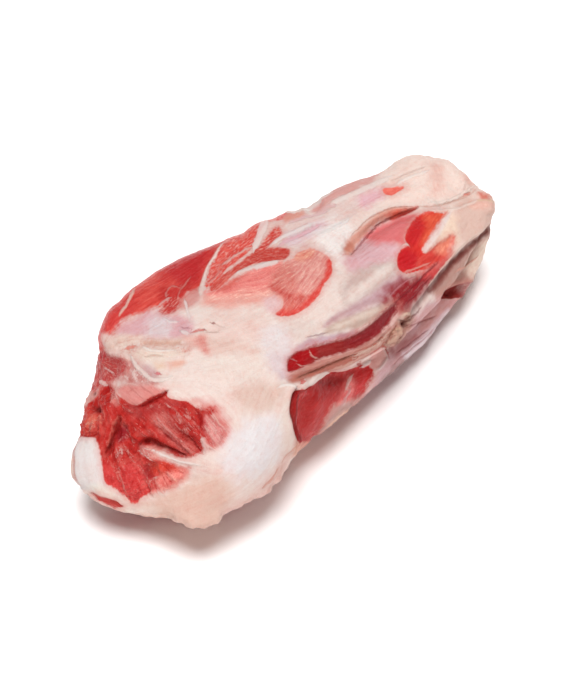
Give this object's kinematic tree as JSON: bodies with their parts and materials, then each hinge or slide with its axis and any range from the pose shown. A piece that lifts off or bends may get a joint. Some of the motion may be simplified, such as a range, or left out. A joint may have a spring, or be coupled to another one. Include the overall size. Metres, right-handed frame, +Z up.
{
  "type": "raw lamb shank",
  "caption": "Raw lamb shank lying on its side: a tapered piece of lean meat, white fat and silverskin from a thick torn cut end with a fat flap to a rounded knuckle.",
  "frame": {"origin": "middle of the shank's outline seen from above, on the table that it lies on", "axes": "+X along the shank from its cut end to its knuckle, +Y to its far side, +Z up from the table"},
  "size_m": [0.1822, 0.0818, 0.0606],
  "materials": {
    "meat": "moist, satin, red lean meat and cream fat"
  },
  "bodies": {
    "root": {"shank": "meat"}
  },
  "joints": []
}
